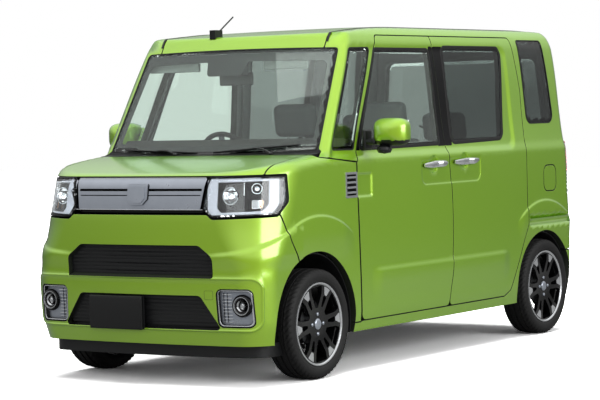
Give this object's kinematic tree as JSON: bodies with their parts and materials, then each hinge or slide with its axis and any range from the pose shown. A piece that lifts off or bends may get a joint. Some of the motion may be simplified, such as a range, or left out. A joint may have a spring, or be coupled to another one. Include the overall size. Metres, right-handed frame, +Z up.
{
  "type": "kei car",
  "caption": "Tall box-shaped kei car with hinged front doors, bonnet, tailgate and fuel flap, rolling wheels and coupled steering.",
  "frame": {"origin": "on the ground, under the middle of the body", "axes": "+Z up, front of the car towards -Y, the car's left side at +X"},
  "size_m": [1.95, 3.3949, 1.8825],
  "materials": {
    "paint": "metallic lime green, clear-coated",
    "screen_glass": "clear green-tinted",
    "privacy_glass": "dark tinted",
    "silver_trim": "satin silver",
    "lamp_lens": "clear lens",
    "red_lens": "red lens",
    "black_trim": "grained black",
    "underbody": "dark coated steel",
    "interior": "grained dark grey",
    "seat_cloth": "dark grey cloth",
    "tyre_rubber": "rubber",
    "alloy": "gloss black with machined tips"
  },
  "bodies": {
    "body": {"aerial": "black_trim", "arch_liners": "black_trim", "body_side_left": "paint", "body_side_right": "paint", "bulkhead": "black_trim", "bumper_grilles": "black_trim", "dashboard": "interior", "engine": "underbody", "exhaust": "underbody", "floor_pan": "underbody", "fog_lamps": "lamp_lens", "front_bumper": "paint", "front_grille": "silver_trim", "front_quarter_glass": "screen_glass", "front_seats": "seat_cloth", "front_suspension": "underbody", "front_wings": "paint", "fuel_tank": "underbody", "headlamps": "lamp_lens", "rear_axle": "underbody", "rear_bumper": "paint", "rear_quarter_glass": "privacy_glass", "rear_seat": "seat_cloth", "roof": "paint", "sliding_door_glass_left": "privacy_glass", "sliding_door_glass_right": "privacy_glass", "sliding_door_left": "paint", "sliding_door_right": "paint", "tail_lamps": "red_lens", "windscreen": "screen_glass"},
    "front_door_left": {"front_door_left": "paint", "front_door_glass_left": "screen_glass", "door_mirror_left": "paint"},
    "front_door_right": {"front_door_right": "paint", "front_door_glass_right": "screen_glass", "door_mirror_right": "paint"},
    "bonnet": {"bonnet": "paint"},
    "tailgate": {"tailgate": "paint", "tailgate_glass": "privacy_glass"},
    "fuel_flap": {"fuel_flap": "paint"},
    "steering_wheel": {"steering_wheel": "interior"},
    "knuckle_left": {"knuckle_left": "underbody"},
    "knuckle_right": {"knuckle_right": "underbody"},
    "wheel_front_left": {"tyre_front_left": "tyre_rubber", "rim_front_left": "alloy"},
    "wheel_front_right": {"tyre_front_right": "tyre_rubber", "rim_front_right": "alloy"},
    "wheel_rear_left": {"tyre_rear_left": "tyre_rubber", "rim_rear_left": "alloy"},
    "wheel_rear_right": {"tyre_rear_right": "tyre_rubber", "rim_rear_right": "alloy"}
  },
  "joints": [
    {"name": "front_door_left_open", "type": "hinge", "parent": "body", "child": "front_door_left", "pos_m": [0.723, -0.715, 0.7], "axis": [0, 0, -1], "range_deg": [0, 70]},
    {"name": "front_door_right_open", "type": "hinge", "parent": "body", "child": "front_door_right", "pos_m": [-0.723, -0.715, 0.7], "axis": [0, 0, 1], "range_deg": [0, 70]},
    {"name": "bonnet_open", "type": "hinge", "parent": "body", "child": "bonnet", "pos_m": [0, -1.112, 1.138], "axis": [-1, 0, 0], "range_deg": [0, 50]},
    {"name": "tailgate_open", "type": "hinge", "parent": "body", "child": "tailgate", "pos_m": [0, 1.545, 1.794], "axis": [1, 0, 0], "range_deg": [0, 80]},
    {"name": "fuel_flap_open", "type": "hinge", "parent": "body", "child": "fuel_flap", "pos_m": [0.732, 1.297, 0.922], "axis": [0, 0, -1], "range_deg": [0, 95]},
    {"name": "steer_left", "type": "hinge", "parent": "body", "child": "knuckle_left", "pos_m": [0.6, -1.145, 0.281], "axis": [0, 0, 1], "range_deg": [-35, 35]},
    {"name": "steer_right", "type": "hinge", "parent": "body", "child": "knuckle_right", "pos_m": [-0.6, -1.145, 0.281], "axis": [0, 0, 1], "range_deg": [-35, 35]},
    {"name": "steering_wheel_turn", "type": "hinge", "parent": "body", "child": "steering_wheel", "pos_m": [-0.3, -0.455, 1.085], "axis": [0, 0.9063, 0.4226], "range_deg": [-490, 490]},
    {"name": "wheel_front_left_roll", "type": "hinge", "parent": "knuckle_left", "child": "wheel_front_left", "pos_m": [0.6525, -1.145, 0.281], "axis": [1, 0, 0], "continuous": true},
    {"name": "wheel_front_right_roll", "type": "hinge", "parent": "knuckle_right", "child": "wheel_front_right", "pos_m": [-0.6525, -1.145, 0.281], "axis": [1, 0, 0], "continuous": true},
    {"name": "wheel_rear_left_roll", "type": "hinge", "parent": "body", "child": "wheel_rear_left", "pos_m": [0.6475, 1.31, 0.281], "axis": [1, 0, 0], "continuous": true},
    {"name": "wheel_rear_right_roll", "type": "hinge", "parent": "body", "child": "wheel_rear_right", "pos_m": [-0.6475, 1.31, 0.281], "axis": [1, 0, 0], "continuous": true}
  ],
  "couplings": [
    {"joint": "steer_right", "follows": "steer_left", "ratio": 1},
    {"joint": "steering_wheel_turn", "follows": "steer_left", "ratio": 14}
  ]
}
